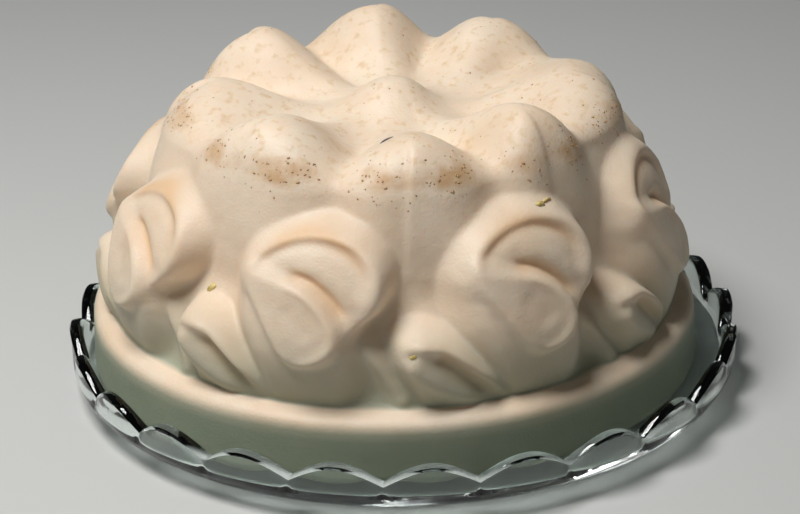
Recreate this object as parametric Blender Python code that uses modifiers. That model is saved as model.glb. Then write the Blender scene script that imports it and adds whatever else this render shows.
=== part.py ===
# A moulded milk jelly turned out on a low pressed-glass plate with a scalloped rim.
#
# The mould has eight turns of one motif: a crown of plump lobes round a small dome, and under each
# valley a large hooded scroll with a tongue in it, a small comma-shaped boss and a thin leaf. Both
# pieces start as turned profiles, and the relief moves their points. Lengths are metres, and names
# ending in _R are shares of the jelly's ledge radius, measured up from the ledge.

import math

import bpy
import numpy as np

LEDGE_RADIUS = 0.082
JELLY_SHIFT = -0.0025
GAP = 0.0003

# Turns of the mould's motif, and where the first of each starts, in degrees from the front.
LOBES = 8
PERIOD = 360 / LOBES
SCROLL_AT = -15.0
COMMA_AFTER = 24.5
EDGE_AT = 4.0

# Upright dimensions and depths of the jelly.
SKIRT_R = 0.185
SKIRT_FLARE_R = 0.008
FOOT_R = 0.03
BROW_R = 0.645
EDGE_DEEP_R = 0.012
CHUTE_DEEP_R = 0.045
COLUMN_RISE_R = 0.005
ARC_RADIUS_R = 0.88

# Where the soft jelly departs from its mould: each lobe's stray in degrees and its rise, the
# sunken side, and a slight curve of the whole body to one side.
LOBE_STRAY = [5.0, -2.5, 1.0, 11.0, 6.5, 4.5, -2.0, 6.0]
LOBE_RISE_R = [-0.02, 0.015, -0.04, -0.005, 0.03, 0.03, -0.035, 0.01]
SUNK_R = 0.04
SUNK_AT = -75.0
LEAN_R = 0.1
LEAN_PIVOT_R = 0.53

# The plate.
FOOT_RADIUS = 0.056
FOOT_HEIGHT = 0.003
PLATE_THICK = 0.004
WELL_RADIUS = 0.0865
RIM_RADIUS = 0.092
RIM_HEIGHT = 0.0165
SCALLOPS = 24
SCALLOP_DEEP = 0.0046
SCALLOP_FLARE = 0.02
SCALLOP_AT = -5.0

# How fine the solids are.
JELLY_STEPS = 18 * LOBES
WALL_RINGS = 16
PLATE_STEPS = 3 * SCALLOPS

# Height of a station on the side against its radius: the plain fluted wall behind the bosses,
# and the level that the bosses rise to.
WALL_CURVE = [(0.03, 0.912), (0.06, 0.893), (0.1, 0.882), (0.18, 0.87), (0.23, 0.853), (0.27, 0.828),
              (0.31, 0.804), (0.4, 0.788), (0.5, 0.777), (0.6, 0.762), (0.68, 0.742)]
BOSS_CURVE = [(0.03, 0.93), (0.08, 0.945), (0.14, 0.954), (0.19, 0.953), (0.24, 0.943), (0.3, 0.923),
              (0.35, 0.903), (0.4, 0.884), (0.45, 0.864), (0.5, 0.843), (0.55, 0.822), (0.6, 0.795),
              (0.68, 0.765)]

# The crown from its middle out to the brow: share of the brow's radius against height.
CREST_CURVE = [(0.0, 0.743), (0.055, 0.735), (0.11, 0.702), (0.17, 0.66), (0.23, 0.644), (0.3, 0.646),
               (0.4, 0.67), (0.54, 0.72), (0.67, 0.767), (0.75, 0.786), (0.81, 0.79), (0.86, 0.78),
               (0.91, 0.753), (0.95, 0.716), (0.985, 0.672), (1.0, 0.645)]
VALLEY_CURVE = [(0.0, 0.743), (0.055, 0.735), (0.11, 0.702), (0.17, 0.658), (0.23, 0.636), (0.33, 0.623),
                (0.44, 0.624), (0.56, 0.636), (0.67, 0.65), (0.74, 0.664), (0.8, 0.676), (0.86, 0.68),
                (0.92, 0.673), (0.97, 0.658), (1.0, 0.645)]

# Rings of points over the crown, as shares of the brow's radius, and round the ledge and skirt.
CROWN_STATIONS = [0.0, 0.09, 0.19, 0.33, 0.48, 0.62, 0.73, 0.81, 0.88, 0.94, 0.98, 1.0]
SKIRT_STATIONS = [(0.984, 0.008), (1.0, -0.016), (1.0 + SKIRT_FLARE_R, -SKIRT_R)]

# The scroll's ovals: middle (degrees from the scroll's own middle, height), half sizes in the
# same units, and how far it leans over with height.
SCROLL_OVALS = [((-1.2, 0.42), (17.5, 0.17), 12.0), ((8.5, 0.365), (7.6, 0.09), 0.0),
                ((-2.6, 0.23), (12.6, 0.27), -18.0)]
COMMA_MIDDLE = (25.2, 0.135)
COMMA_HALF = (0.2, 0.098)
COMMA_TILT = -40.0
EDGE_SOFT = 0.6

# Folds raised on the faces of the bosses and grooves pressed in them: the points of a line
# (degrees, height), its rise, and its half width.
SCROLL_FOLDS = {
    "hood_rim": ([(-14, 0.45), (-10, 0.513), (-6, 0.548), (-2, 0.567), (3, 0.567), (7.5, 0.543),
                  (11, 0.5), (13, 0.448), (13, 0.4), (11.2, 0.352), (8.3, 0.328)], 0.024, 0.042),
    "under_the_hood": ([(-13, 0.452), (-10, 0.488), (-5, 0.518), (0.5, 0.517), (6, 0.486),
                        (9.5, 0.435), (10.4, 0.39)], -0.034, 0.03),
    "over_the_tongue": ([(-6, 0.42), (-2.5, 0.41), (1, 0.385), (4, 0.34), (6, 0.28)], -0.03, 0.028),
    "tongue_edge": ([(-6.5, 0.402), (-2.5, 0.39), (1, 0.35), (3.7, 0.295), (4.4, 0.243),
                     (3.4, 0.205), (1, 0.188), (-1.5, 0.19), (-3, 0.205)], 0.01, 0.026),
    "tongue_hollow": ([(-4.5, 0.36), (-2, 0.31), (-0.2, 0.26), (0.6, 0.235)], -0.01, 0.03),
}
TONGUE = ([(-7.6, 0.39), (-3, 0.32), (-0.3, 0.255)], 0.03, 0.09)
COMMA_FOLDS = {
    "upper_fold": ([(18.4, 0.262), (21.6, 0.25), (25.3, 0.198), (30, 0.124)], 0.012, 0.03),
    "between": ([(19, 0.206), (20.6, 0.205), (23.7, 0.167), (27.7, 0.115), (32.3, 0.067)], -0.03, 0.026),
    "lower_fold": ([(17, 0.181), (20.5, 0.12), (24.5, 0.076), (29.5, 0.04), (33.3, 0.036)], 0.01, 0.034),
}
LEAF = ([(7.3, 0.25), (10.1, 0.2), (13, 0.142), (16.5, 0.055)], 0.034, 0.036)


def clear_scene():
    for obj in list(bpy.data.objects):
        bpy.data.objects.remove(obj, do_unlink=True)


def curve(points, at):
    # A smooth curve through its points, read at any place along it.
    x, y = np.array(points, float).T
    slope = np.gradient(y, x)
    i = np.clip(np.searchsorted(x, at) - 1, 0, len(x) - 2)
    step = x[i + 1] - x[i]
    t = np.clip((at - x[i]) / step, 0, 1)
    return ((1 + 2 * t) * (1 - t) ** 2 * y[i] + t * (1 - t) ** 2 * step * slope[i]
            + t * t * (3 - 2 * t) * y[i + 1] - t * t * (1 - t) * step * slope[i + 1])


def eased(share):
    # From 0 to 1, leaving gently and rounding over at the top.
    s = np.clip(share, 0, 1)
    return 0.6 * s * s * (3 - 2 * s) + 0.4 * np.sin(np.pi / 2 * s)


def from_middle(turn, start):
    # Degrees from the nearest middle of a motif.
    return (turn - start + PERIOD / 2) % PERIOD - PERIOD / 2


def along(degrees):
    # Degrees round the jelly turned into a length on its side.
    return np.radians(degrees) * ARC_RADIUS_R


def far_from(x, z, line):
    # Distance from a line through the points.
    far = np.full(np.shape(x), 1e9)
    for (x0, z0), (x1, z1) in zip(line[:-1], line[1:]):
        x0, x1 = along(x0), along(x1)
        dx, dz = x1 - x0, z1 - z0
        t = np.clip(((x - x0) * dx + (z - z0) * dz) / (dx * dx + dz * dz), 0, 1)
        far = np.minimum(far, np.hypot(x - x0 - t * dx, z - z0 - t * dz))
    return far


def folded(level, x, z, folds):
    # The boss's face with its folds laid on and its grooves pressed in.
    for line, rise, width in folds.values():
        level = level + rise * np.exp(-((far_from(x, z, line) / width) ** 2))
    return level


def oval(x, z, middle, half, lean):
    # 1 over an oval boss, rounding down to 0 at its outline.
    u = (x - middle[0] - lean * (z - middle[1])) / half[0]
    v = (z - middle[1]) / half[1]
    return eased((1 - u * u - v * v) / EDGE_SOFT)


def comma_oval(x, z):
    c, s = math.cos(math.radians(COMMA_TILT)), math.sin(math.radians(COMMA_TILT))
    dx, dz = along(x - COMMA_MIDDLE[0]), z - COMMA_MIDDLE[1]
    u = (dx * c + dz * s) / COMMA_HALF[0]
    v = (dz * c - dx * s) / COMMA_HALF[1]
    return eased((1 - u * u - v * v) / EDGE_SOFT)


def nearest_lobe(turn):
    # Which lobe of the crown a place belongs to, and degrees from that lobe's middle.
    lobes = np.arange(-1, LOBES + 2)
    middles = lobes * PERIOD + np.array(LOBE_STRAY)[lobes % LOBES]
    even = np.interp(np.asarray(turn) % 360, middles, lobes * PERIOD)
    lobe = np.round(even / PERIOD).astype(int)
    return lobe % LOBES, even - lobe * PERIOD


def lobe_shape(turn):
    # 1 along a lobe's middle, 0 in the valley beside it.
    return np.cos(np.pi * nearest_lobe(turn)[1] / PERIOD) ** 0.9


def sharp_edge(x):
    # A step: sharp on one side, easing out on the other.
    return np.where(x < 0, np.exp(-((x / 1.6) ** 2)), np.exp(-((x / 6.5) ** 2)))


def plain_wall(turn, z):
    # The fluted wall behind the bosses.
    radius = curve(WALL_CURVE, z)
    upper = eased((z - 0.33) / 0.2)
    radius = radius - EDGE_DEEP_R * upper * sharp_edge(from_middle(turn, EDGE_AT))
    radius = radius - COLUMN_RISE_R * upper * np.cos(np.radians(nearest_lobe(turn)[1] * 2 * LOBES))
    return radius - CHUTE_DEEP_R * (1 - lobe_shape(turn)) ** 1.3 * eased((z - 0.55) / 0.09)


def wall_radius(turn, z):
    # Radius of the side at a height, all round.
    plain = plain_wall(turn, z)
    level = curve(BOSS_CURVE, z)
    x = from_middle(turn, SCROLL_AT)
    at = along(x)
    scroll = np.maximum.reduce([oval(x, z, *shape) for shape in SCROLL_OVALS])
    line, rise, width = TONGUE
    tongue = rise * eased(2 - 2 * (far_from(at, z, line) / width) ** 2)
    face = folded(level, at, z, SCROLL_FOLDS) + tongue
    radius = plain + np.maximum(face - plain, 0) * scroll
    beside = from_middle(turn, SCROLL_AT + COMMA_AFTER) + COMMA_AFTER
    face = folded(level, along(beside), z, COMMA_FOLDS)
    radius = np.maximum(radius, plain + (face - plain) * comma_oval(beside, z))
    line, rise, width = LEAF
    return np.maximum(radius, plain + rise * np.exp(-((far_from(at, z, line) / width) ** 2)))


def side_radius(turn, z):
    # The relief averaged over the area that each point of the side stands for.
    across, down = 100 / JELLY_STEPS, 0.28 * (BROW_R - FOOT_R) / WALL_RINGS
    total = np.zeros_like(z)
    for i in (-1, 0, 1):
        for k in (-1, 0, 1):
            total += wall_radius(turn + i * across, np.clip(z + k * down, FOOT_R, BROW_R))
    return total / 9


def crown_height(turn, share):
    # The crown's lobes and valleys, before the jelly sinks.
    rise = np.array(LOBE_RISE_R)[nearest_lobe(turn)[0]] * 1.7 * share ** 2 * (1 - share ** 8)
    valley = curve(VALLEY_CURVE, share)
    return valley + (curve(CREST_CURVE, share) + rise - valley) * lobe_shape(turn)


def mould(blank):
    # Moves the points of the turned blank, a plain drum, to the moulded jelly.
    x, y, z = blank.T
    turn = np.degrees(np.arctan2(x, -y))
    share = np.hypot(x, y)
    on_top = z > BROW_R - 1e-4
    on_foot = z < FOOT_R - 1e-4
    brow = wall_radius(turn, np.full_like(z, BROW_R))
    radius = np.where(on_top, share * brow, side_radius(turn, z))
    radius = np.where(on_foot, share, radius)
    up = np.where(on_top, crown_height(turn, share), z)
    sunk = SUNK_R * (1 + np.cos(np.radians(turn - SUNK_AT))) / 2
    up = up - sunk * np.where(on_top, share ** 2, eased((z - 0.3) / (BROW_R - 0.3)))
    lean = LEAN_R * up * (up - LEAN_PIVOT_R) * (up > 0)
    angle = np.radians(turn)
    return np.stack([radius * np.sin(angle) + lean, -radius * np.cos(angle), up], -1)


def turned(name, profile, steps, collection):
    # A profile in the XZ plane, outer side top to bottom, turned about Z into one closed body.
    mesh = bpy.data.meshes.new(name)
    mesh.from_pydata([(r, 0, z) for r, z in profile], [(i, i + 1) for i in range(len(profile) - 1)], [])
    obj = bpy.data.objects.new(name, mesh)
    collection.objects.link(obj)
    screw = obj.modifiers.new("Turn", "SCREW")
    screw.axis = "Z"
    screw.steps = steps
    screw.render_steps = steps
    screw.use_merge_vertices = True
    screw.merge_threshold = 0.00001
    bpy.context.view_layer.update()
    graph = bpy.context.evaluated_depsgraph_get()
    obj.data = bpy.data.meshes.new_from_object(obj.evaluated_get(graph))
    obj.modifiers.clear()
    bpy.data.meshes.remove(mesh)
    obj.data.name = name
    return obj


def points_of(obj):
    flat = np.empty(len(obj.data.vertices) * 3, np.float32)
    obj.data.vertices.foreach_get("co", flat)
    return flat.reshape(-1, 3).astype(float)


def move_points(obj, points):
    obj.data.vertices.foreach_set("co", points.astype(np.float32).ravel())
    obj.data.update()


def material(name, colour, roughness, see_through=0.0):
    finish = bpy.data.materials.new(name)
    finish.use_nodes = True
    shader = finish.node_tree.nodes["Principled BSDF"]
    shader.inputs["Base Color"].default_value = (*colour, 1)
    shader.inputs["Roughness"].default_value = roughness
    shader.inputs["Metallic"].default_value = 0.0
    shader.inputs["Transmission Weight"].default_value = see_through
    return finish


def build_jelly(collection):
    top = [(share, BROW_R) for share in CROWN_STATIONS]
    side = [(1.0, BROW_R - (BROW_R - FOOT_R) * i / WALL_RINGS) for i in range(1, WALL_RINGS + 1)]
    jelly = turned("jelly", top + side + SKIRT_STATIONS + [(0.0, -SKIRT_R)], JELLY_STEPS, collection)
    points = mould(points_of(jelly)) * LEDGE_RADIUS
    points[:, 0] += JELLY_SHIFT
    points[:, 2] += FOOT_HEIGHT + PLATE_THICK + GAP + SKIRT_R * LEDGE_RADIUS
    move_points(jelly, points)
    jelly.data.materials.append(material("milk jelly", (0.78, 0.66, 0.5), 0.35))
    return jelly


def build_plate(collection):
    well = FOOT_HEIGHT + PLATE_THICK
    lip = RIM_RADIUS - PLATE_THICK * 0.8
    profile = [(0.0, well), (WELL_RADIUS, well), (lip, RIM_HEIGHT), (RIM_RADIUS, RIM_HEIGHT - 0.001),
               (WELL_RADIUS + 0.004, well - 0.001), (WELL_RADIUS, FOOT_HEIGHT),
               (FOOT_RADIUS + 0.002, FOOT_HEIGHT), (FOOT_RADIUS, 0.0), (FOOT_RADIUS - 0.004, 0.0),
               (FOOT_RADIUS - 0.006, FOOT_HEIGHT * 0.6), (0.0, FOOT_HEIGHT * 0.6)]
    plate = turned("plate", profile, PLATE_STEPS, collection)
    x, y, z = points_of(plate).T
    arch = np.abs(np.sin(np.arctan2(x, -y) * SCALLOPS / 2))
    rise = np.clip((z - well) / (RIM_HEIGHT - well), 0, 1)
    z = z - SCALLOP_DEEP * rise * (1 - arch)
    grow = 1 + SCALLOP_FLARE * rise * (arch - 1)
    c, s = math.cos(math.radians(SCALLOP_AT)), math.sin(math.radians(SCALLOP_AT))
    move_points(plate, np.stack([(x * c - y * s) * grow, (x * s + y * c) * grow, z], -1))
    plate.data.materials.append(material("pressed glass", (0.9, 0.95, 0.93), 0.05, 1.0))
    return plate


def main():
    clear_scene()
    parts = bpy.data.collections.new("moulded_jelly")
    bpy.context.scene.collection.children.link(parts)
    build_jelly(parts).data.shade_smooth()
    plate = build_plate(parts).data
    plate.shade_smooth()
    plate.set_sharp_from_angle(angle=math.radians(50))


main()
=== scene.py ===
# A moulded milk jelly turned out on a low pressed-glass plate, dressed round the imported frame.
# The jelly's relief is worked in shares of its ledge radius, and in degrees from the front.

import math
import random

import bpy
import numpy as np
from mathutils import Matrix, Vector


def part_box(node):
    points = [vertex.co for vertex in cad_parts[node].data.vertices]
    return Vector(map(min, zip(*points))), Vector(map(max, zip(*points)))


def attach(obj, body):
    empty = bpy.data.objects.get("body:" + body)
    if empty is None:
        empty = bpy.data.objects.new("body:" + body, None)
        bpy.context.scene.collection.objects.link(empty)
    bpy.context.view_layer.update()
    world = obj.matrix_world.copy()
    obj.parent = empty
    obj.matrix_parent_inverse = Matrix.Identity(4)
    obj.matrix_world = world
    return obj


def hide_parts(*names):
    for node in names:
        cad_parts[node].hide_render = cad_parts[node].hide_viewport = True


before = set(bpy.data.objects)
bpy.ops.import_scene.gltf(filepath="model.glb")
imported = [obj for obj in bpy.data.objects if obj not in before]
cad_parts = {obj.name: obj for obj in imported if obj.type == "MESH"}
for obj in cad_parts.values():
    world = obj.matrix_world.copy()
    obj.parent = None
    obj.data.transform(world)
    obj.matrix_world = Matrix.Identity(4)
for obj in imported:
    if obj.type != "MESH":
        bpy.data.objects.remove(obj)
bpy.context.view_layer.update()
print("frame loaded:", sorted(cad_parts))

mould = {
    "lobes": 8,
    "scrollAt": -15.0,           # middle of the first hooded scroll
    "commaAfter": 24.5,          # degrees from a scroll's middle to its comma's
    "arcRadius": 0.88,           # on which degrees round the wall become lengths
    "edgeOff": -1.0,             # sharp edge down the wall under a lobe, degrees from its middle
    "edgeDeep": 0.009,
    "edgeWidths": (1.2, 6.5),    # degrees over which it eases out on either side
    "edgeFades": (0.33, 0.2),    # height where it starts, and height over which it grows
    "chuteDeep": 0.045,          # how far the valleys of the crown cut into the brow
    "chuteCurve": 1.3,
    "chuteFades": (0.45, 0.2),
    "valleySoft": 0.22,
    "notchDeep": 0.016,          # the same sharp edge on top of the lobe
    "notchFades": (0.78, 0.1, 0.03),    # share where it starts, and shares over which it grows and ends
    "lobesFrom": (0.3, 0.4),     # share where the lobes turn uneven, and share over which they do
    "evenUntil": 0.6,            # share from which the crown keeps the brow's outline
    "columnRise": 0.005,
    "browHeight": 0.645,
    "skirt": 0.185,
    "skirtFlare": 0.008,
    "ledgeFoot": 0.03,
    "lineSteps": 5,              # steps between the given points of a fold, and of an outline
    "outlineSteps": 4,
}
lowCorner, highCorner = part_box("jelly")
ledgeRadius = (highCorner.y - lowCorner.y) / 2 / (1 + mould["skirtFlare"])
jellyMiddle = Vector(((lowCorner.x + highCorner.x) / 2, 0, lowCorner.z + mould["skirt"] * ledgeRadius))


# ---- relief of the mould ----

# Radius of the wall and of the bosses' faces at each height, and height of a lobe's middle and of
# a valley at each share of the brow's radius.
wallCurve = [(0.03, 0.912), (0.06, 0.893), (0.1, 0.882), (0.18, 0.87), (0.23, 0.853), (0.27, 0.828),
             (0.31, 0.804), (0.4, 0.788), (0.5, 0.774), (0.6, 0.751), (0.68, 0.728)]
bossCurve = [(0.03, 0.93), (0.08, 0.945), (0.14, 0.954), (0.19, 0.953), (0.24, 0.943), (0.3, 0.923),
             (0.35, 0.903), (0.4, 0.884), (0.45, 0.863), (0.5, 0.839), (0.55, 0.812), (0.6, 0.782),
             (0.68, 0.745)]
crestCurve = [(0.0, 0.738), (0.055, 0.733), (0.11, 0.713), (0.17, 0.68), (0.23, 0.656), (0.3, 0.65),
              (0.4, 0.669), (0.54, 0.719), (0.67, 0.766), (0.75, 0.783), (0.81, 0.786),
              (0.86, 0.777), (0.91, 0.754), (0.95, 0.72), (0.985, 0.674), (1.0, 0.645)]
valleyCurve = [(0.0, 0.738), (0.055, 0.733), (0.11, 0.713), (0.17, 0.68), (0.23, 0.654),
               (0.33, 0.636), (0.44, 0.634), (0.56, 0.643), (0.67, 0.658), (0.74, 0.67),
               (0.8, 0.679), (0.86, 0.682), (0.92, 0.677), (0.96, 0.668), (0.985, 0.656),
               (1.0, 0.645)]

# Closed outlines of the bosses, from the foot round by the left side: degrees from a scroll's
# middle, height, and width of the rounded edge.
scrollOutline = [(6, -0.06, 0.09), (-9, -0.06, 0.09), (-13, 0.04, 0.1), (-16.5, 0.155, 0.12),
                 (-19.5, 0.25, 0.13), (-21, 0.34, 0.13), (-19.8, 0.43, 0.09), (-16, 0.518, 0.075),
                 (-9.8, 0.573, 0.07), (-3.5, 0.6, 0.07), (2.5, 0.603, 0.07), (8.8, 0.58, 0.07),
                 (13.9, 0.522, 0.07), (16.6, 0.445, 0.07), (16.3, 0.36, 0.065),
                 (13.8, 0.298, 0.055), (11.3, 0.265, 0.055), (10.6, 0.235, 0.08),
                 (11.3, 0.19, 0.1), (11.5, 0.12, 0.11), (10, 0.04, 0.1)]
commaOutline = [(20, -0.03, 0.06), (16.4, 0.08, 0.06), (14, 0.155, 0.065), (13.8, 0.225, 0.065),
                (15.8, 0.27, 0.06), (19.6, 0.286, 0.06), (24, 0.274, 0.06), (28.3, 0.234, 0.055),
                (32.4, 0.172, 0.05), (36.4, 0.1, 0.045), (39, 0.02, 0.04), (36, -0.06, 0.05),
                (26.6, -0.06, 0.06)]
outlinePlump = {"scroll": 0.25, "comma": 0.5}

# Folds raised on a boss's face and grooves pressed in it: line, rise, half width, and the shares
# of its length over which it fades in and out.
scrollFolds = {
    "hood rim": ([(-15, 0.42), (-13.8, 0.465), (-11, 0.517), (-7, 0.557), (-2, 0.576), (3, 0.575),
                  (8, 0.545), (10.9, 0.497), (12, 0.44), (11.4, 0.386), (9.8, 0.35), (8.1, 0.337)],
                 0.015, 0.036, (0.25, 0.15)),
    "under the hood": ([(-12.3, 0.449), (-9.6, 0.487), (-5.5, 0.517), (-1.2, 0.527), (3, 0.515),
                        (6.8, 0.485), (8.8, 0.448), (9.3, 0.41)], -0.012, 0.02, (0.25, 0.5)),
    "inner fold": ([(-5, 0.465), (0, 0.457), (4, 0.42), (6.8, 0.375), (8.3, 0.335)],
                   0.007, 0.03, (0.35, 0.3)),
    "over the tongue": ([(-6, 0.427), (-4.2, 0.422), (-1.3, 0.411), (2.1, 0.378), (4.9, 0.338),
                         (6.8, 0.306)], -0.014, 0.017, (0.35, 0.3)),
    "tongue edge": ([(-6, 0.42), (-4.5, 0.41), (-1.5, 0.388), (1.4, 0.348), (3.5, 0.304),
                     (4.4, 0.263), (3.6, 0.228), (1.4, 0.198), (-1.1, 0.185), (-3, 0.197)],
                    0.01, 0.015, (0.25, 0.25)),
    "tongue side": ([(-13.8, 0.4), (-11, 0.345), (-7.8, 0.275), (-5, 0.212), (-3, 0.185)],
                    0.005, 0.014, (0.3, 0.2)),
    "tongue hollow": ([(-5.5, 0.35), (-2.5, 0.3), (0, 0.25)], -0.006, 0.03, (0.3, 0.3)),
}
# The tongue is a long raised leaf under the hood: closed outline as above, and its rise.
tongueOutline = [(-15.2, 0.38, 0.05), (-12, 0.31, 0.045), (-8.7, 0.235, 0.04), (-6.2, 0.18, 0.038),
                 (-3, 0.148, 0.035), (1, 0.155, 0.035), (4.5, 0.181, 0.035), (6.6, 0.225, 0.035),
                 (6.8, 0.272, 0.035), (5.7, 0.316, 0.03), (3.4, 0.36, 0.03), (0, 0.4, 0.03),
                 (-4, 0.43, 0.04), (-9, 0.465, 0.06), (-14.5, 0.485, 0.06), (-16.3, 0.44, 0.06)]
tongueRise = 0.026
commaFolds = {
    "upper fold": ([(18, 0.232), (21.5, 0.24), (24.7, 0.224), (27.8, 0.186), (31.5, 0.13),
                    (35, 0.07)], 0.018, 0.028, (0.2, 0.3)),
    "between the folds": ([(22, 0.198), (24.4, 0.183), (27.5, 0.138), (30.8, 0.086), (34, 0.045)],
                          -0.022, 0.023, (0.3, 0.4)),
    "lower fold": ([(17.4, 0.205), (19.2, 0.158), (22.6, 0.108), (27, 0.064), (32, 0.036)],
                   0.02, 0.032, (0.25, 0.3)),
}
commaEye = ((18.4, 0.205), -0.007, 0.011)       # place, rise, width
# The leaf is a thin ridge beside the comma: line, rise, half width.
leaf = ([(7.3, 0.25), (10.1, 0.2), (13, 0.142), (16.5, 0.055)], 0.034, 0.034)
grooveFrom = -0.01           # a fold pressed in deeper than this is a groove, and takes painted shade
hair = 1e-4                  # room for rounding

uneven = {
    # degrees, round the crown: each lobe's middle, then the valley after it
    "lobeStray": [5, 3, -4, -8.5, 1, 13, 12, 8.75, 6.5, 5.5, 6, 1.25, -4, 2, 6, 8],
    # sharp edge under each lobe: cut in, or standing out where negative
    "lobeEdge": [-0.7, 0.35, 0.5, 0.6, 0.6, 0.8, 0.8, -0.5],
    "lobeRise": [-0.02, 0.015, -0.04, -0.005, 0.03, 0.03, -0.035, 0.01],
    "riseScale": 1.7,
    "sunk": 0.04,                # how far the crown has sunk on one side
    "sunkAt": -75.0,
    "sunkFrom": 0.3,             # height from which the wall sinks with it
    "lean": 0.1,                 # slight curve of the whole body to one side
    "leanBack": 0.53,            # height where it comes back to the middle
}


def curveThrough(points, at):
    # a smooth curve through its points, read at any place along it
    x, y = np.array(points, float).T
    slope = np.gradient(y, x)
    i = np.clip(np.searchsorted(x, at) - 1, 0, len(x) - 2)
    step = x[i + 1] - x[i]
    t = np.clip((at - x[i]) / step, 0, 1)
    return ((1 + 2 * t) * (1 - t) ** 2 * y[i] + t * (1 - t) ** 2 * step * slope[i]
            + t * t * (3 - 2 * t) * y[i + 1] - t * t * (1 - t) * step * slope[i + 1])


def smooth(share):
    s = np.clip(share, 0, 1)
    return s * s * (3 - 2 * s)


def fromMiddle(turn, start):
    period = 360 / mould["lobes"]
    return (turn - start + period / 2) % period - period / 2


def arcLength(degrees):
    return np.radians(degrees) * mould["arcRadius"]


def besideScroll(turn):
    # length round the wall from the middle of the nearest scroll
    return arcLength(fromMiddle(turn, mould["scrollAt"]))


def besideComma(turn):
    # the same length, from the scroll that the nearest comma belongs to
    after = mould["commaAfter"]
    return arcLength(fromMiddle(turn, mould["scrollAt"] + after) + after)


def smoothLine(line, steps, closed=False):
    # points along a smooth line through the given ones, with degrees made lengths
    rows = np.array(line, float)
    ends = 3 if closed else 0
    if closed:
        rows = np.concatenate([rows[-ends:], rows, rows[:ends + 1]])
    at = np.linspace(ends, len(rows) - 1 - ends, steps * (len(rows) - 1 - 2 * ends) + 1)
    places = np.arange(len(rows))
    rows = np.stack([curveThrough(list(zip(places, column)), at) for column in rows.T], -1)
    rows[:, 0] = arcLength(rows[:, 0])
    return rows


def nearestOn(x, z, rows):
    # distance from a line of points, and where along it the nearest place is
    far, place = np.full(np.shape(x), 1e9), np.zeros(np.shape(x))
    for i, (start, end) in enumerate(zip(rows[:-1], rows[1:])):
        dx, dz = end[0] - start[0], end[1] - start[1]
        t = np.clip(((x - start[0]) * dx + (z - start[1]) * dz) / (dx * dx + dz * dz + 1e-12), 0, 1)
        gap = np.hypot(x - start[0] - t * dx, z - start[1] - t * dz)
        place = np.where(gap < far, (i + t) / (len(rows) - 1), place)
        far = np.minimum(far, gap)
    return far, place


def onFold(x, z, fold, rise=1.0):
    # the rise along a fold's line, rounding down to 0 beside it and fading at its ends
    line, _, width, (fadeIn, fadeOut) = fold
    far, place = nearestOn(x, z, smoothLine(line, mould["lineSteps"]))
    fade = smooth(0.2 + place / fadeIn) * smooth(0.2 + (1 - place) / fadeOut)
    return rise * fade * np.exp(-((far / width) ** 2))


def folded(level, x, z, folds):
    # the boss's face with its folds laid on and its grooves pressed in
    for fold in folds.values():
        level = level + onFold(x, z, fold, fold[1])
    return level


def groovesAt(x, z, folds):
    # how far a place lies within the grooves
    share = np.zeros(np.shape(x))
    for fold in folds.values():
        if fold[1] < grooveFrom:
            share = np.maximum(share, onFold(x, z, fold))
    return share


def insideOutline(x, z, outline, plump=0.0):
    # 1 within a closed outline, rounding down to 0 at its edge: easing out, or plump
    rows = smoothLine(outline, mould["outlineSteps"], closed=True)
    far, place = nearestOn(x, z, rows)
    width = np.interp(place, np.linspace(0, 1, len(rows)), rows[:, 2])
    inside = np.zeros(np.shape(x), bool)
    for start, end in zip(rows[:-1], rows[1:]):
        crosses = (start[1] > z) != (end[1] > z)
        rise = end[1] - start[1] if end[1] != start[1] else 1e-9
        inside ^= crosses & (x < start[0] + (z - start[1]) * (end[0] - start[0]) / rise)
    share = np.clip(np.where(inside, far / width, 0), 0, 1)
    return (1 - plump) * smooth(share) + plump * np.sin(np.pi / 2 * share)


def nearestLobe(turn):
    # which lobe of the crown a place belongs to, and degrees from that lobe's middle
    count = 2 * mould["lobes"]
    steps = np.arange(-2, count + 3)
    even = steps * 360 / count
    strayed = even + np.array(uneven["lobeStray"])[steps % count]
    turn = np.interp(np.asarray(turn) % 360, strayed, even)
    lobe = np.round(turn * mould["lobes"] / 360).astype(int)
    return lobe % mould["lobes"], turn - lobe * 360 / mould["lobes"]


def lobeShape(turn):
    # 1 along a lobe's middle, rounding down to 0 in the valleys
    soft = mould["valleySoft"]
    wave = np.cos(np.pi * nearestLobe(turn)[1] * mould["lobes"] / 360)
    return (np.sqrt(wave ** 2 + soft ** 2) - soft) / (math.hypot(1, soft) - soft)


def sharpEdge(x):
    # a step: sharp on one side, easing out on the other
    before, after = mould["edgeWidths"]
    return np.where(x < 0, np.exp(-((x / before) ** 2)), np.exp(-((x / after) ** 2)))


def lobeCrease(lobe, across, deep=1.0):
    # how deep a lobe is creased at a place, or how far it stands out where negative
    return deep * np.array(uneven["lobeEdge"])[lobe] * sharpEdge(across - mould["edgeOff"])


def plainWall(turn, z):
    # the fluted wall behind the bosses
    radius = curveThrough(wallCurve, z)
    start, over = mould["edgeFades"]
    upper = smooth((z - start) / over)
    lobe, across = nearestLobe(turn)
    radius = radius - mould["edgeDeep"] * upper * lobeCrease(lobe, across)
    radius = radius - mould["columnRise"] * upper * np.cos(np.radians(across * 2 * mould["lobes"]))
    start, over = mould["chuteFades"]
    valley = (1 - lobeShape(turn)) ** mould["chuteCurve"]
    return radius - mould["chuteDeep"] * valley * smooth((z - start) / over)


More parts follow.
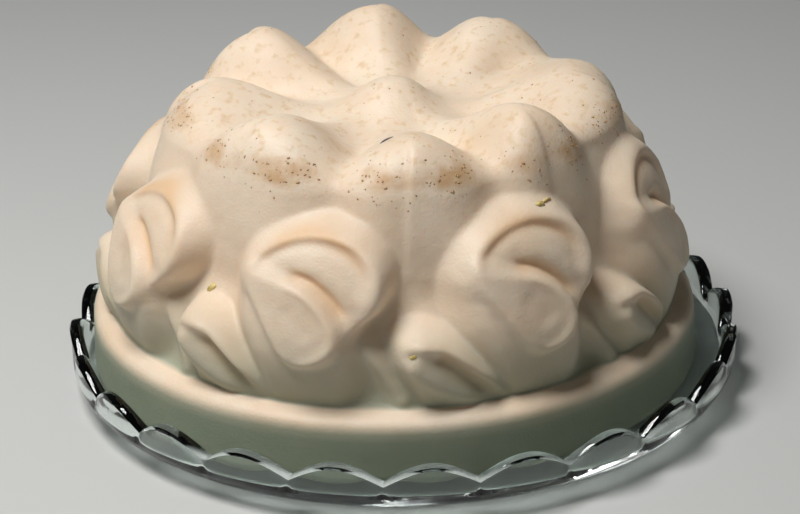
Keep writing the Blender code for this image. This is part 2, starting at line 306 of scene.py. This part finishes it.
def wallRadius(turn, z):
    # the wall with its scrolls, tongues, commas and leaves
    plain = plainWall(turn, z)
    level = curveThrough(bossCurve, z)
    at, beside = besideScroll(turn), besideComma(turn)
    face = folded(level, at, z, scrollFolds) + tongueRise * insideOutline(at, z, tongueOutline)
    shape = insideOutline(at, z, scrollOutline, outlinePlump["scroll"])
    radius = plain + np.maximum(face - plain, 0) * shape
    (eyeAt, eyeHeight), deep, width = commaEye
    eye = deep * np.exp(-((beside - arcLength(eyeAt)) ** 2 + (z - eyeHeight) ** 2) / width ** 2)
    face = folded(level, beside, z, commaFolds) + eye
    shape = insideOutline(beside, z, commaOutline, outlinePlump["comma"])
    radius = np.maximum(radius, plain + (face - plain) * shape)
    line, rise, width = leaf
    far, place = nearestOn(at, z, smoothLine(line, mould["lineSteps"]))
    return np.maximum(radius, plain + rise * np.exp(-((far / width) ** 2)))


def jellyPoints(turn, share, z):
    # share is of the brow's radius on the crown, is not used on the wall, and is of the ledge's
    # radius below the wall's foot
    brow, foot = mould["browHeight"], mould["ledgeFoot"]
    turn, share, z = np.broadcast_arrays(turn, share, z)
    onTop, onWall = z > brow - hair, (z <= brow - hair) & (z >= foot - hair)
    evenBrow = curveThrough(wallCurve, brow)
    crownRadius = evenBrow + (plainWall(turn, brow) - evenBrow) * smooth(share / mould["evenUntil"])
    radius = share * np.where(onTop, crownRadius, 1.0)
    radius[onWall] = wallRadius(turn[onWall], np.clip(z[onWall], foot, brow))
    lobe, across = nearestLobe(turn)
    start, over, end = mould["notchFades"]
    notch = lobeCrease(lobe, across, mould["notchDeep"])
    notch = notch * np.clip((share - start) / over, 0, 1) * np.clip((1 - share) / end, 0, 1)
    crest = curveThrough(crestCurve, share) - notch
    valley = curveThrough(valleyCurve, share)
    rise = uneven["riseScale"] * np.array(uneven["lobeRise"])[lobe] * share ** 2 * (1 - share ** 8)
    # the lobes are even and soft where they start, and uneven further out
    start, over = mould["lobesFrom"]
    outer, strayed = smooth((share - start) / over), lobeShape(turn)
    inner = np.cos(np.radians(fromMiddle(turn, 0) * mould["lobes"] / 2)) ** 2
    shape = strayed * outer + inner * (1 - outer)
    up = np.where(onTop, valley + (crest - valley) * shape + rise * strayed, z)
    sunk = uneven["sunk"] * share ** 2 * (1 + np.cos(np.radians(turn - uneven["sunkAt"]))) / 2
    low = uneven["sunkFrom"]
    up = up - np.where(onTop, sunk, sunk * smooth((up - low) / (brow - low)))
    lean = uneven["lean"] * up * (up - uneven["leanBack"]) * (up > 0)
    angle = np.radians(turn)
    points = np.stack([radius * np.sin(angle) + lean, -radius * np.cos(angle), up], -1)
    return points * ledgeRadius + np.array(jellyMiddle)


# ---- small tools ----

def deselectAll():
    for obj in bpy.context.selected_objects:
        obj.select_set(False)


def pointsOf(obj):
    flat = np.empty(len(obj.data.vertices) * 3, np.float32)
    obj.data.vertices.foreach_get("co", flat)
    return flat.reshape(-1, 3).astype(float)


def movePoints(obj, points):
    obj.data.vertices.foreach_set("co", np.asarray(points, np.float32).ravel())
    obj.data.update()


def applyModifiers(obj):
    deselectAll()
    obj.select_set(True)
    bpy.context.view_layer.objects.active = obj
    for modifier in list(obj.modifiers):
        bpy.ops.object.modifier_apply(modifier=modifier.name)


def keepPiece(obj, name, material):
    obj.name = name
    obj.data.name = name
    obj.data.materials.clear()
    obj.data.materials.append(material)
    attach(obj, "root")


# ---- materials ----

def newMaterial(name):
    material = bpy.data.materials.new(name)
    material.use_nodes = True
    nodes = material.node_tree.nodes
    return material, nodes, material.node_tree.links, nodes["Principled BSDF"]


mottleDetail = {"blotch": 5.0, "roughness": 0.6, "grain": 3.0}


def mottleGroup():
    # soft blotches over fine grain, for every finish here
    group = bpy.data.node_groups.new("softMottle", "ShaderNodeTree")
    for name, value in (("Blotch Scale", 60.0), ("Grain Scale", 900.0), ("Grain", 0.4)):
        socket = group.interface.new_socket(name, in_out="INPUT", socket_type="NodeSocketFloat")
        socket.default_value = value
    group.interface.new_socket("Mask", in_out="OUTPUT", socket_type="NodeSocketFloat")
    group.interface.new_socket("Height", in_out="OUTPUT", socket_type="NodeSocketFloat")
    nodes, links = group.nodes, group.links
    given, out = nodes.new("NodeGroupInput"), nodes.new("NodeGroupOutput")
    place = nodes.new("ShaderNodeTexCoord")
    blotch, grain = nodes.new("ShaderNodeTexNoise"), nodes.new("ShaderNodeTexNoise")
    blotch.inputs["Detail"].default_value = mottleDetail["blotch"]
    blotch.inputs["Roughness"].default_value = mottleDetail["roughness"]
    grain.inputs["Detail"].default_value = mottleDetail["grain"]
    mix = nodes.new("ShaderNodeMix")
    links.new(place.outputs["Object"], blotch.inputs["Vector"])
    links.new(place.outputs["Object"], grain.inputs["Vector"])
    links.new(given.outputs["Blotch Scale"], blotch.inputs["Scale"])
    links.new(given.outputs["Grain Scale"], grain.inputs["Scale"])
    links.new(given.outputs["Grain"], mix.inputs["Factor"])
    links.new(blotch.outputs["Fac"], mix.inputs["A"])
    links.new(grain.outputs["Fac"], mix.inputs["B"])
    links.new(blotch.outputs["Fac"], out.inputs["Mask"])
    links.new(mix.outputs["Result"], out.inputs["Height"])
    return group


softMottle = mottleGroup()


def addMottle(nodes, blotch, grain, share):
    node = nodes.new("ShaderNodeGroup")
    node.node_tree = softMottle
    node.inputs["Blotch Scale"].default_value = blotch
    node.inputs["Grain Scale"].default_value = grain
    node.inputs["Grain"].default_value = share
    return node


def colourRamp(nodes, places, colours):
    # a blend from one colour to another between two places
    ramp = nodes.new("ShaderNodeValToRGB")
    for stop, place, colour in zip(ramp.color_ramp.elements, places, colours):
        stop.position = place
        stop.color = (*colour, 1)
    return ramp


def mixColours(nodes, links, factor, first, second):
    mix = nodes.new("ShaderNodeMix")
    mix.data_type = "RGBA"
    for socket, value in ((mix.inputs[0], factor), (mix.inputs[6], first), (mix.inputs[7], second)):
        if isinstance(value, (int, float)):
            socket.default_value = value
        elif isinstance(value, tuple):
            socket.default_value = (*value, 1)
        else:
            links.new(value, socket)
    return mix.outputs[2]


def valueMath(nodes, links, operation, first, second, clamp=False):
    node = nodes.new("ShaderNodeMath")
    node.operation = operation
    node.use_clamp = clamp
    for socket, value in zip(node.inputs, (first, second)):
        if isinstance(value, (int, float)):
            socket.default_value = value
        else:
            links.new(value, socket)
    return node.outputs[0]


def addNoise(nodes, links, scale, detail):
    place, noise = nodes.new("ShaderNodeTexCoord"), nodes.new("ShaderNodeTexNoise")
    noise.inputs["Scale"].default_value = scale
    noise.inputs["Detail"].default_value = detail
    links.new(place.outputs["Object"], noise.inputs["Vector"])
    return noise.outputs["Fac"]


def addBump(nodes, links, shader, height, strength, distance):
    bump = nodes.new("ShaderNodeBump")
    bump.inputs["Strength"].default_value = strength
    bump.inputs["Distance"].default_value = distance
    links.new(height, bump.inputs["Height"])
    links.new(bump.outputs["Normal"], shader.inputs["Normal"])


# A mottle is a blotch scale, a grain scale and the share of grain in its height; a bump is a
# strength and a distance.
jellyLook = {
    "cream": (0.8, 0.62, 0.45),
    "pale": (0.86, 0.71, 0.55),
    "creamToPale": (0.35, 0.62),
    # painted shade: warm orange darkening in the grooves
    "paintedGrooveShade": (0.78, 0.48, 0.24),
    # painted shade with green reflected light, on the bosses' lower parts and the skirt
    "low": (0.24, 0.29, 0.2),
    "stain": (0.58, 0.34, 0.15),
    "freckle": (0.72, 0.52, 0.31),
    "mottle": (45.0, 1400.0, 0.35),
    "stainNoise": (190.0, 4.0),      # scale and detail
    "stainFrom": 0.2,
    "stainGain": 2.1,
    "stainMost": 0.8,
    "freckleNoise": (420.0, 2.0),
    "freckleFrom": 0.545,
    "freckleGain": 5.0,
    "roughness": 0.56,
    "milky": 0.35,                   # how much light goes in and comes out again
    "milkyTint": (1.0, 0.55, 0.3),
    "milkyReach": 0.0035,
    "coat": 0.05,
    "coatRoughness": 0.3,
    "bump": (0.55, 0.0005),
}


def makeJellyMaterial():
    look = jellyLook
    material, nodes, links, shader = newMaterial("milkJelly")
    mottle = addMottle(nodes, *look["mottle"])
    body = colourRamp(nodes, look["creamToPale"], (look["cream"], look["pale"]))
    links.new(mottle.outputs["Mask"], body.inputs["Fac"])
    mask = {}
    for name in ("paintedGrooveShade", "low", "stain", "crown"):
        attribute = nodes.new("ShaderNodeAttribute")
        attribute.attribute_name = name
        mask[name] = attribute.outputs["Fac"]
    # painted shade: orange in the grooves, then grey-green on the low parts
    colour = mixColours(nodes, links, mask["paintedGrooveShade"], body.outputs["Color"], look["paintedGrooveShade"])
    colour = mixColours(nodes, links, mask["low"], colour, look["low"])
    blots = addNoise(nodes, links, *look["stainNoise"])
    blots = valueMath(nodes, links, "MULTIPLY", blots, mask["stain"])
    blots = valueMath(nodes, links, "SUBTRACT", blots, look["stainFrom"], clamp=True)
    blots = valueMath(nodes, links, "MULTIPLY", blots, look["stainGain"])
    blots = valueMath(nodes, links, "MINIMUM", blots, look["stainMost"])
    colour = mixColours(nodes, links, blots, colour, look["stain"])
    freckles = addNoise(nodes, links, *look["freckleNoise"])
    freckles = valueMath(nodes, links, "SUBTRACT", freckles, look["freckleFrom"], clamp=True)
    freckles = valueMath(nodes, links, "MULTIPLY", freckles, look["freckleGain"], clamp=True)
    freckles = valueMath(nodes, links, "MULTIPLY", freckles, mask["crown"])
    colour = mixColours(nodes, links, freckles, colour, look["freckle"])
    links.new(colour, shader.inputs["Base Color"])
    shader.inputs["Roughness"].default_value = look["roughness"]
    shader.inputs["Subsurface Weight"].default_value = look["milky"]
    shader.inputs["Subsurface Radius"].default_value = look["milkyTint"]
    shader.inputs["Subsurface Scale"].default_value = look["milkyReach"]
    shader.inputs["Coat Weight"].default_value = look["coat"]
    shader.inputs["Coat Roughness"].default_value = look["coatRoughness"]
    addBump(nodes, links, shader, mottle.outputs["Height"], *look["bump"])
    return material


glassLook = {
    "clear": (0.86, 0.95, 0.92),
    "clearer": (0.93, 0.98, 0.96),
    "clearToClearer": (0.3, 0.7),
    "mottle": (90.0, 700.0, 0.3),
    "roughness": 0.03,
    "ior": 1.5,
    "bump": (0.08, 0.0006),
}


def makeGlassMaterial():
    look = glassLook
    material, nodes, links, shader = newMaterial("pressedGlass")
    mottle = addMottle(nodes, *look["mottle"])
    tint = colourRamp(nodes, look["clearToClearer"], (look["clear"], look["clearer"]))
    links.new(mottle.outputs["Mask"], tint.inputs["Fac"])
    links.new(tint.outputs["Color"], shader.inputs["Base Color"])
    shader.inputs["Roughness"].default_value = look["roughness"]
    shader.inputs["IOR"].default_value = look["ior"]
    shader.inputs["Transmission Weight"].default_value = 1.0
    addBump(nodes, links, shader, mottle.outputs["Mask"], *look["bump"])
    return material


crumbLook = {
    # dark, light and roughness of each kind
    "toastedSpecks": ((0.37, 0.2, 0.08), (0.6, 0.38, 0.17), 0.6),
    "darkFlake": ((0.035, 0.045, 0.06), (0.1, 0.11, 0.12), 0.5),
    "yellowGrain": ((0.45, 0.33, 0.09), (0.68, 0.53, 0.2), 0.45),
    "darkToLight": (0.38, 0.62),
    "mottle": (500.0, 2500.0, 0.5),
    "bump": (0.3, 0.0001),
}


def makeCrumbMaterial(name):
    dark, light, roughness = crumbLook[name]
    material, nodes, links, shader = newMaterial(name)
    mottle = addMottle(nodes, *crumbLook["mottle"])
    tint = colourRamp(nodes, crumbLook["darkToLight"], (dark, light))
    links.new(mottle.outputs["Mask"], tint.inputs["Fac"])
    links.new(tint.outputs["Color"], shader.inputs["Base Color"])
    shader.inputs["Roughness"].default_value = roughness
    addBump(nodes, links, shader, mottle.outputs["Height"], *crumbLook["bump"])
    return material


# ---- jelly ----

jelly = {
    "columns": 600,
    "crownRings": 48,
    "wallRings": 98,
    # share of the ledge's radius and height, from the wall's foot down to the base
    "ledgeProfile": [(0.94, 0.024), (0.96, 0.018), (0.978, 0.011), (0.99, 0.002), (0.997, -0.01),
                     (1.0, -0.025), (1.001, -0.05), (1.003, -0.09), (1.005, -0.13), (1.007, -0.165),
                     (1.008, -0.178), (1.004, -0.185), (0.98, -0.185), (0.7, -0.185), (0.35, -0.185)],
    "soften": (0.5, 3),          # factor and times
    "slump": {"size": 0.03, "rise": 0.0009},
    "curd": {"size": 0.0035, "rise": 0.00014},
}
stain = {
    "height": 0.665,
    "tall": 0.045,
    "apart": 9.5,                # degrees from a lobe's middle to either clump
    "wide": 8.5,
    "reach": (0.6, 0.06),        # distance from the axis where it starts, and over which it grows
    # how heavy on either side, lobe by lobe
    "heavy": [(1.0, 1.2), (0.8, 1.2), (0.8, 0.5), (0.6, 0.7), (0.8, 0.6), (0.7, 0.8), (0.5, 0.9),
              (0.9, 1.2)],
}
# painted shade in the grooves, towards the foot of the bosses and on the skirt; the crown's entry
# places its freckles
paintedShadeAndTints = {
    "grooves": 0.65,
    # how strong, height where it starts, and height over which it grows: upward on the crown,
    # downward on the others
    "bosses": (0.75, 0.29, 0.26),
    "skirt": (0.92, 0.012, 0.05),
    "crown": (0.85, 0.6, 0.06),
}


def ringStations():
    # share and height of every ring of points, from the middle of the crown to the middle of the base
    brow, foot = mould["browHeight"], mould["ledgeFoot"]
    across, down = jelly["crownRings"], jelly["wallRings"]
    crown = [(i / across, brow) for i in range(across + 1)]
    wall = [(1.0, brow + (foot - brow) * i / down) for i in range(1, down + 1)]
    return crown + wall + jelly["ledgeProfile"] + [(0.0, -mould["skirt"])]


def browStain(turn, reach, height):
    # how stained a place is: two clumps on each lobe's brow, one on either side of its sharp edge
    lobe, across = nearestLobe(turn)
    heavy = np.array(stain["heavy"])[lobe]
    left = heavy[..., 0] * np.exp(-(((across + stain["apart"]) / stain["wide"]) ** 2))
    right = heavy[..., 1] * np.exp(-(((across - stain["apart"]) / stain["wide"]) ** 2))
    brow = np.exp(-(((height - stain["height"]) / stain["tall"]) ** 2))
    start, over = stain["reach"]
    return (left + right) * brow * np.clip((reach - start) / over, 0, 1)


def addMark(obj, name, values):
    mark = obj.data.attributes.new(name, "FLOAT", "POINT")
    mark.data.foreach_set("value", np.asarray(values, np.float32))


def addLumps(obj, name, size, rise):
    texture = bpy.data.textures.new(name, "CLOUDS")
    texture.noise_scale = size
    texture.noise_depth = 1
    lumps = obj.modifiers.new(name, "DISPLACE")
    lumps.texture = texture
    lumps.texture_coords = "GLOBAL"
    lumps.strength = rise
    lumps.mid_level = 0.5


def addShadeAndTints(obj, turn, station, points):
    # where the material tints the jelly: painted shade in the grooves and on the low parts, freckles on
    # the crown, and stains
    height = (points[:, 2] - jellyMiddle.z) / ledgeRadius
    reach = np.hypot(points[:, 0] - jellyMiddle.x, points[:, 1]) / ledgeRadius
    grooves = np.maximum(groovesAt(besideScroll(turn), height, scrollFolds),
                         groovesAt(besideComma(turn), height, commaFolds))
    onWall = (station[:, 0] > 1 - hair) * (height > mould["ledgeFoot"])
    # painted shade in the grooves
    addMark(obj, "paintedGrooveShade", paintedShadeAndTints["grooves"] * grooves * onWall)
    # painted shade and green reflected light, growing towards the foot of the bosses and over the skirt
    strong, start, over = paintedShadeAndTints["bosses"]
    aboveLedge = station[:, 1] > mould["ledgeFoot"] - hair
    bosses = strong * np.clip((start - height) / over, 0, 1) * aboveLedge
    strong, start, over = paintedShadeAndTints["skirt"]
    addMark(obj, "low", np.maximum(bosses, strong * smooth((start - height) / over)))
    strong, start, over = paintedShadeAndTints["crown"]
    addMark(obj, "crown", np.clip((height - start) / over, 0, strong))
    addMark(obj, "stain", browStain(turn, reach, height))


def makeJelly(material):
    stations = np.array(ringStations())
    deselectAll()
    rings, columns = len(stations) - 1, jelly["columns"]
    bpy.ops.mesh.primitive_uv_sphere_add(segments=columns, ring_count=rings, radius=1)
    piece = bpy.context.object
    blank = pointsOf(piece)
    ring = np.rint(np.arccos(np.clip(blank[:, 2], -1, 1)) / math.pi * rings).astype(int)
    column = np.rint(np.degrees(np.arctan2(blank[:, 0], -blank[:, 1])) * columns / 360).astype(int)
    turn = column % columns * 360 / columns
    station = stations[ring]
    points = jellyPoints(turn, station[:, 0], station[:, 1])
    movePoints(piece, points)
    addShadeAndTints(piece, turn, station, points)
    soften = piece.modifiers.new("softened", "SMOOTH")
    soften.factor, soften.iterations = jelly["soften"]
    for name in ("slump", "curd"):
        addLumps(piece, name, jelly[name]["size"], jelly[name]["rise"])
    applyModifiers(piece)
    bpy.ops.object.shade_smooth()
    keepPiece(piece, "milkJelly", material)
    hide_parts("jelly")
    return piece


# ---- plate ----

plate = {
    "scallops": 24,
    "columnsEach": 16,
    "scallopAt": -3.8,
    "scallopDeep": 0.0057,
    "scallopFlare": 0.02,
    "thick": 0.004,
    "footRadius": 0.056,
    "footHeight": 0.003,
    "wellRadius": 0.0865,
    "rimRadius": 0.0915,
    "rimHeight": 0.0165,
    "hubShare": 0.2,             # first ring of points, as a share of the next
    "sharpAngle": 40.0,
}


def scalloped(points):
    # the plain rim's points, moved into scallops
    x, y, z = points.T
    well = plate["footHeight"] + plate["thick"]
    arch = np.abs(np.sin(np.arctan2(x, -y) * plate["scallops"] / 2))
    rise = np.clip((z - well) / (plate["rimHeight"] - well), 0, 1)
    z = z - plate["scallopDeep"] * rise * (1 - arch)
    grow = 1 + plate["scallopFlare"] * rise * (arch - 1)
    c, s = math.cos(math.radians(plate["scallopAt"])), math.sin(math.radians(plate["scallopAt"]))
    return np.stack([(x * c - y * s) * grow, (x * s + y * c) * grow, z], -1)


def makePlate(material):
    well = plate["footHeight"] + plate["thick"]
    inner, outer, top = plate["wellRadius"], plate["rimRadius"], plate["rimHeight"]
    foot, lift = plate["footRadius"], plate["footHeight"]
    lip = outer - plate["thick"] * 0.8
    profile = [(0.05, well), (inner - 0.001, well), (inner + 0.0003, well + 0.0006),
               (inner + 0.0008, well + 0.002), (lip - 0.0006, top - 0.002), (lip, top - 0.0006),
               (lip + 0.0006, top - 0.0001), (lip + 0.0014, top), (outer - 0.0004, top - 0.0003),
               (outer, top - 0.001), (outer - 0.0001, top - 0.0016),
               (inner + 0.0046, well + 0.0012), (inner + 0.0035, well - 0.0012),
               (inner + 0.0018, lift + 0.0012), (inner - 0.001, lift + 0.0002),
               (inner - 0.004, lift), (foot + 0.003, lift), (foot + 0.0012, lift - 0.0008),
               (foot, 0.0003), (foot - 0.0003, 0.0), (foot - 0.0037, 0.0), (foot - 0.0041, 0.0004),
               (foot - 0.005, lift * 0.5), (foot - 0.006, lift * 0.6), (0.02, lift * 0.6)]
    deselectAll()
    count = plate["scallops"] * plate["columnsEach"]
    radius, height = profile[0][0] * plate["hubShare"], well
    bpy.ops.mesh.primitive_circle_add(vertices=count, radius=radius, location=(0, 0, well),
                                      fill_type="NGON")
    piece = bpy.context.object
    bpy.ops.object.mode_set(mode="EDIT")
    bpy.ops.mesh.select_all(action="SELECT")
    bpy.ops.mesh.flip_normals()
    bpy.ops.mesh.select_all(action="DESELECT")
    bpy.ops.mesh.select_non_manifold()
    for nextRadius, nextHeight in profile:
        bpy.ops.mesh.extrude_edges_move()
        scale = nextRadius / radius
        bpy.ops.transform.resize(value=(scale, scale, 1))
        bpy.ops.transform.translate(value=(0, 0, nextHeight - height))
        radius, height = nextRadius, nextHeight
    bpy.ops.mesh.edge_face_add()
    bpy.ops.mesh.select_all(action="SELECT")
    bpy.ops.mesh.normals_make_consistent(inside=False)
    bpy.ops.object.mode_set(mode="OBJECT")
    bpy.ops.object.transform_apply(location=True, rotation=True, scale=True)
    movePoints(piece, scalloped(pointsOf(piece)))
    bpy.ops.object.shade_smooth_by_angle(angle=math.radians(plate["sharpAngle"]))
    keepPiece(piece, "glassPlate", material)
    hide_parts("plate")


# ---- specks, grains and the dark sliver ----

specks = {
    "count": 620,
    "radius": (0.00012, 0.00035),
    "shrink": (0.6, 1.0),        # further spread of their sizes
    "long": (1.0, 1.9),
    "flat": 0.45,
    "stray": 0.0006,
    "seed": 5,
    # how likely a place is: thick along the brow's stains, thin over the crown, rare on the wall
    "evenShare": 0.1,
    "clumping": 1.5,
    "crown": (0.012, 0.66),      # likelihood, and the height above which it holds
    "wall": (0.003, 0.5),
}


def speckWeight(turn, reach, height):
    area = specks["evenShare"] + reach
    likely = browStain(turn, reach, height) ** specks["clumping"]
    for chance, above in (specks["crown"], specks["wall"]):
        likely = likely + chance * (height > above)
    return area * likely


def scattered(piece, base, weight):
    # copies of a small shape lying on the piece, joined into one mesh
    pick = random.Random(specks["seed"])
    points = pointsOf(piece)
    normals = np.empty(len(points) * 3, np.float32)
    piece.data.vertex_normals.foreach_get("vector", normals)
    normals = normals.reshape(-1, 3)
    chosen = pick.choices(range(len(points)), weights=weight, k=specks["count"])
    shape, stray = pointsOf(base), specks["stray"]
    faces = [list(face.vertices) for face in base.data.polygons]
    allPoints, allFaces = [], []
    for index in chosen:
        normal = Vector(normals[index])
        side = normal.orthogonal().normalized()
        side.rotate(Matrix.Rotation(pick.uniform(0, math.tau), 3, normal))
        across = normal.cross(side)
        size = pick.uniform(*specks["radius"]) * pick.uniform(*specks["shrink"])
        shift = side * pick.uniform(-1, 1) + across * pick.uniform(-1, 1)
        middle = Vector(points[index]) + shift * stray
        long = pick.uniform(*specks["long"])
        basis = np.array([side * size * long, across * size, normal * size * specks["flat"]])
        start = len(allPoints) * len(shape)
        allPoints.append(shape @ basis + np.array(middle))
        allFaces += [[start + i for i in face] for face in faces]
    mesh = bpy.data.meshes.new("scattered")
    mesh.from_pydata(np.concatenate(allPoints).tolist(), [], allFaces)
    obj = bpy.data.objects.new("scattered", mesh)
    bpy.context.collection.objects.link(obj)
    mesh.shade_smooth()
    return obj


def makeSpecks(piece, material):
    deselectAll()
    bpy.ops.mesh.primitive_ico_sphere_add(subdivisions=1, radius=1)
    base = bpy.context.object
    points = (pointsOf(piece) - np.array(jellyMiddle)) / ledgeRadius
    turn = np.degrees(np.arctan2(points[:, 0], -points[:, 1]))
    weight = speckWeight(turn, np.hypot(points[:, 0], points[:, 1]), points[:, 2])
    obj = scattered(piece, base, weight)
    bpy.data.objects.remove(base)
    keepPiece(obj, "brownSpecks", material)


sliver = {
    "at": (-3.0, 0.7),           # degrees, and share of the brow's radius
    "along": (1.0, -0.05, 0.12),
    "half": (0.0027, 0.0004, 0.0002),
    "bend": 0.0007,
    "lift": 0.00015,
}
grains = {
    "at": [(34.5, 0.568), (-41.9, 0.287), (3.4, 0.207)],    # degrees, and height on the wall
    "half": [(0.0013, 0.0008, 0.0007), (0.0015, 0.001, 0.0006), (0.0011, 0.0006, 0.0004)],
    "along": (1, 0.3, 0.4),
    # a bit of stem beside the first grain
    "stemHalf": (0.0017, 0.00035, 0.0003),
    "stemAlong": (0.7, 0.5, 0.4),
    "stemShift": (2.2, 0.004),
    "stemLift": 0.0002,
}
flake = {"segments": 16, "rings": 10, "lump": 0.12, "waves": (5, 3, 4)}


def surfaceAt(piece, turn, share, z):
    # the piece's nearest point to a place on the mould, and the way it faces there
    target = jellyPoints(np.array([turn]), np.array([share]), np.array([z]))[0]
    index = int(np.argmin(np.linalg.norm(pointsOf(piece) - target, axis=1)))
    vertex = piece.data.vertices[index]
    return vertex.co.copy(), vertex.normal.copy()


def flakeOn(middle, normal, along, half, bend=0.0):
    # a small lumpy ellipsoid lying on a surface, its ends bent down by a given amount
    deselectAll()
    bpy.ops.mesh.primitive_uv_sphere_add(segments=flake["segments"], ring_count=flake["rings"],
                                         radius=1)
    piece = bpy.context.object
    x, y, z = pointsOf(piece).T
    a, b, c = flake["waves"]
    lump = 1 + flake["lump"] * np.sin(a * x + b * z) * np.cos(c * y)
    x, y, z = x * half[0] * lump, y * half[1] * lump, z * half[2] * lump - bend * x * x
    side = normal.cross(Vector(along)).normalized()
    forward = side.cross(normal).normalized()
    basis = np.array([forward, side, normal])
    movePoints(piece, np.stack([x, y, z], -1) @ basis + np.array(middle))
    bpy.ops.object.shade_smooth()
    return piece


def makeSliver(piece, material):
    turn, share = sliver["at"]
    middle, normal = surfaceAt(piece, turn, share, mould["browHeight"])
    middle = middle + normal * sliver["lift"]
    made = flakeOn(middle, normal, sliver["along"], sliver["half"], sliver["bend"])
    keepPiece(made, "darkSliver", material)


def makeGrains(piece, material):
    made = []
    for (turn, height), half in zip(grains["at"], grains["half"]):
        middle, normal = surfaceAt(piece, turn, 1.0, height)
        made.append(flakeOn(middle, normal, grains["along"], half))
    (turn, height), (turned, raised) = grains["at"][0], grains["stemShift"]
    middle, normal = surfaceAt(piece, turn + turned, 1.0, height + raised)
    middle = middle + normal * grains["stemLift"]
    made.append(flakeOn(middle, normal, grains["stemAlong"], grains["stemHalf"]))
    deselectAll()
    for obj in made:
        obj.select_set(True)
    bpy.context.view_layer.objects.active = made[0]
    bpy.ops.object.join()
    keepPiece(made[0], "yellowGrains", material)


# ---- stage ----

stage = {
    "floorSize": 3.0,
    "floorColour": (0.62, 0.62, 0.6),
    "floorDarker": 0.97,
    "floorBlend": (0.3, 0.7),
    "floorMottle": (3.0, 60.0, 0.3),
    "floorRoughness": 0.7,
    "aim": (0, 0, 0.04),         # where the lights point
    "keyAt": (-0.25, -0.15, 0.75),
    "keySize": 0.36,
    "keyPower": 5.9,
    "fillAt": (-0.5, -0.9, 0.4),
    "fillSize": 0.9,
    "fillPower": 0.12,
    "sky": (0.85, 0.95, 0.92),
    "skyPower": 0.045,
}
view = {
    "away": 7.43,            # ledge radii from the ledge's middle
    "down": 24.63,
    "roll": -1.18,
    "lens": 99.8,
    "shift": (0.0081, 0.0368),
    "sensor": 36,
    "clipStart": 0.01,
}


def makeFloor():
    deselectAll()
    bpy.ops.mesh.primitive_plane_add(size=stage["floorSize"], location=(0, 0, 0))
    floor = bpy.context.object
    floor.name = "floor"
    material, nodes, links, shader = newMaterial("paleFloor")
    mottle = addMottle(nodes, *stage["floorMottle"])
    colour = stage["floorColour"]
    darker = tuple(value * stage["floorDarker"] for value in colour)
    tint = colourRamp(nodes, stage["floorBlend"], (darker, colour))
    links.new(mottle.outputs["Mask"], tint.inputs["Fac"])
    links.new(tint.outputs["Color"], shader.inputs["Base Color"])
    shader.inputs["Roughness"].default_value = stage["floorRoughness"]
    floor.data.materials.append(material)


def addLight(name, place, size, power, target):
    deselectAll()
    bpy.ops.object.light_add(type="AREA", location=place)
    light = bpy.context.object
    light.name = name
    light.data.shape = "DISK"
    light.data.size = size
    light.data.energy = power
    light.rotation_euler = (target - light.location).to_track_quat("-Z", "Y").to_euler()


def makeLights():
    target = Vector(stage["aim"])
    addLight("key", stage["keyAt"], stage["keySize"], stage["keyPower"], target)
    addLight("fill", stage["fillAt"], stage["fillSize"], stage["fillPower"], target)
    world = bpy.data.worlds.new("softSky")
    world.use_nodes = True
    world.node_tree.nodes["Background"].inputs["Color"].default_value = (*stage["sky"], 1)
    world.node_tree.nodes["Background"].inputs["Strength"].default_value = stage["skyPower"]
    bpy.context.scene.world = world
    bpy.context.scene.view_settings.view_transform = "Standard"


def makeCamera():
    down, roll = math.radians(view["down"]), math.radians(view["roll"])
    up = Vector((0, math.sin(down), math.cos(down)))
    back = Vector((0, -math.cos(down), math.sin(down)))
    right = Vector((1, 0, 0))
    across = right * math.cos(roll) + up * math.sin(roll)
    upward = up * math.cos(roll) - right * math.sin(roll)
    place = Matrix((across, upward, back)).transposed().to_4x4()
    place.translation = jellyMiddle + back * view["away"] * ledgeRadius
    bpy.ops.object.camera_add()
    camera = bpy.context.object
    camera.matrix_world = place
    camera.data.lens = view["lens"]
    camera.data.sensor_width = view["sensor"]
    camera.data.shift_x, camera.data.shift_y = view["shift"]
    camera.data.clip_start = view["clipStart"]
    bpy.context.scene.camera = camera


makeCamera()
makeFloor()
makeLights()
print("stage set")
milkJelly = makeJelly(makeJellyMaterial())
print("jelly made:", len(milkJelly.data.vertices), "points")
makePlate(makeGlassMaterial())
print("plate made")
makeSpecks(milkJelly, makeCrumbMaterial("toastedSpecks"))
print("specks made")
makeSliver(milkJelly, makeCrumbMaterial("darkFlake"))
makeGrains(milkJelly, makeCrumbMaterial("yellowGrain"))
print("sliver and grains made")
